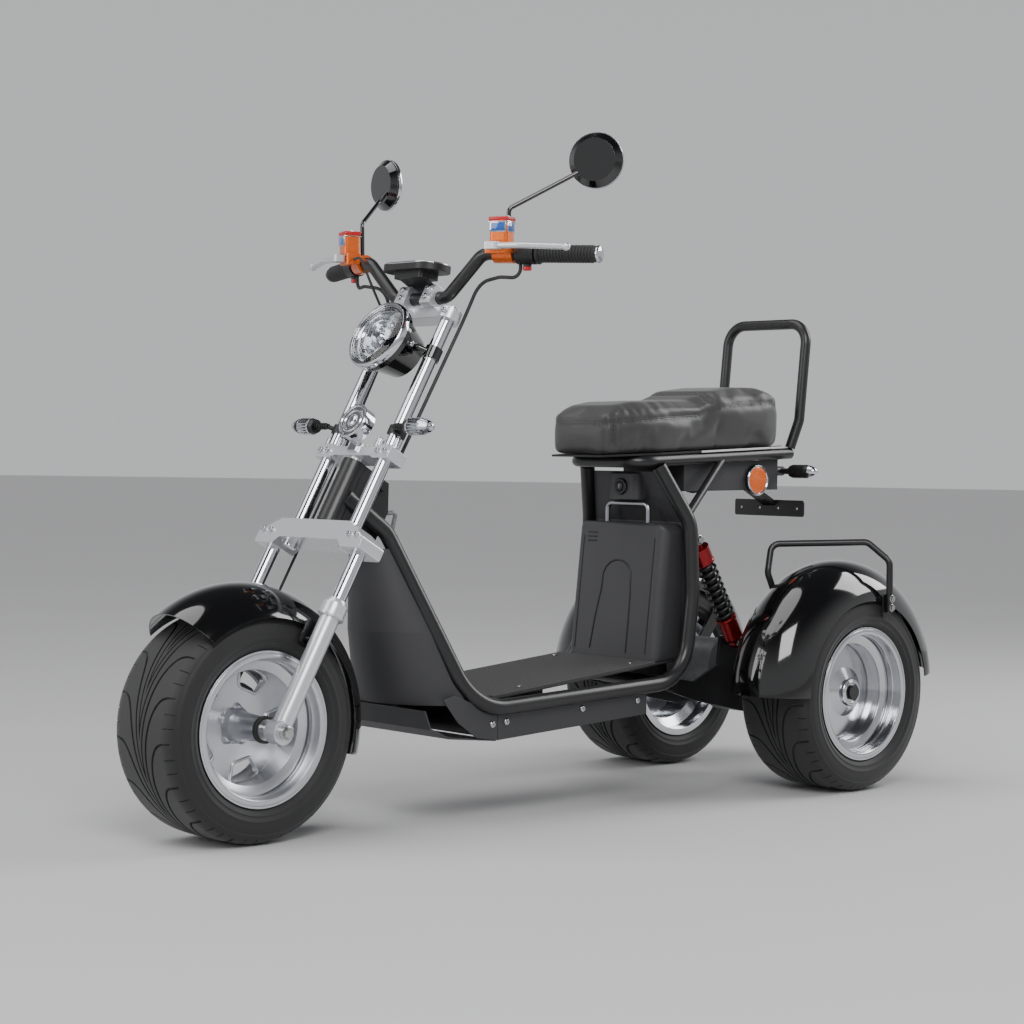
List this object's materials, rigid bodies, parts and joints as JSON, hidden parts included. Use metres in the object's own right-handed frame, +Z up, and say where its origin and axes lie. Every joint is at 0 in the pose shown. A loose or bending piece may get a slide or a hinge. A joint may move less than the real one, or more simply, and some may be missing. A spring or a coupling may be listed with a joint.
{
  "type": "electric scooter",
  "caption": "Fat-tyre electric trike scooter with a long raked steering fork, low footboard, battery box, padded seat, backrest hoop and fendered rear wheels.",
  "frame": {"origin": "on the ground under the middle of the bounding box", "axes": "+X forward, +Y to the rider's left, +Z up"},
  "size_m": [2.1472, 0.9016, 1.5049],
  "materials": {
    "amber_lens": "gloss",
    "black_plastic": "matte",
    "brushed_steel": "brushed",
    "cast_alloy": "satin",
    "cast_grey": "cast",
    "chrome": "polished",
    "clear_lens": "clear",
    "gloss_black": "gloss",
    "grip_rubber": "matte",
    "mat_rubber": "matte",
    "moulded_grey": "matte",
    "orange_body": "gloss",
    "polished_alloy": "polished",
    "red_anodised": "satin",
    "red_lens": "gloss",
    "satin_black_steel": "satin",
    "seat_leather": "matte",
    "silver_paint": "satin",
    "tyre_rubber": "matte"
  },
  "bodies": {
    "chassis": {"rear_fenders": "gloss_black", "fender_guards": "satin_black_steel", "fender_brackets": "satin_black_steel", "frame_left_loop": "satin_black_steel", "frame_right_loop": "satin_black_steel", "head_tube": "satin_black_steel", "charge_socket": "black_plastic", "bag_hook": "black_plastic", "frame_crossbars": "satin_black_steel", "seat_rail": "satin_black_steel", "footboard": "satin_black_steel", "foot_mat": "mat_rubber", "side_skirts": "moulded_grey", "under_pans": "moulded_grey", "leg_shield": "moulded_grey", "bay_panel": "moulded_grey", "battery_box": "moulded_grey", "battery_handle": "brushed_steel", "seat_base": "black_plastic", "seat_cushion": "seat_leather", "backrest_hoop": "satin_black_steel", "tail_box": "moulded_grey", "side_reflectors": "amber_lens", "tail_lamp": "red_lens", "rear_signals": "black_plastic", "plate_bracket": "satin_black_steel", "rear_axle": "satin_black_steel", "drive_unit": "cast_grey", "swing_arm": "satin_black_steel", "rear_shocks": "red_anodised", "shock_springs": "satin_black_steel"},
    "steering": {"front_axle": "brushed_steel", "fork_sliders": "silver_paint", "fork_tubes": "chrome", "lower_yoke": "silver_paint", "mid_yoke": "silver_paint", "top_yoke": "silver_paint", "handlebar": "satin_black_steel", "grips": "grip_rubber", "switch_pods": "black_plastic", "master_cylinders": "orange_body", "brake_levers": "polished_alloy", "mirrors": "gloss_black", "display": "black_plastic", "headlight_shell": "gloss_black", "headlight_lens": "clear_lens", "horn": "chrome", "front_signals": "black_plastic", "front_fender": "gloss_black", "front_caliper": "cast_grey", "control_cables": "black_plastic", "brake_hose": "black_plastic"},
    "front_wheel": {"front_tyre": "tyre_rubber", "front_rim": "cast_alloy", "front_brake_disc": "brushed_steel"},
    "rear_left_wheel": {"rear_left_tyre": "tyre_rubber", "rear_left_rim": "polished_alloy"},
    "rear_right_wheel": {"rear_right_tyre": "tyre_rubber", "rear_right_rim": "polished_alloy"}
  },
  "joints": [
    {"name": "steering_turn", "type": "hinge", "parent": "chassis", "child": "steering", "pos_m": [0.83518, 0, 0.2385], "axis": [-0.4924, 0, 0.8704], "range_deg": [-35, 35]},
    {"name": "front_wheel_spin", "type": "hinge", "parent": "steering", "child": "front_wheel", "pos_m": [0.83518, 0, 0.2385], "axis": [0, 1, 0], "continuous": true},
    {"name": "rear_left_wheel_spin", "type": "hinge", "parent": "chassis", "child": "rear_left_wheel", "pos_m": [-0.75482, 0.303, 0.2385], "axis": [0, 1, 0], "continuous": true},
    {"name": "rear_right_wheel_spin", "type": "hinge", "parent": "chassis", "child": "rear_right_wheel", "pos_m": [-0.75482, -0.303, 0.2385], "axis": [0, 1, 0], "continuous": true}
  ]
}
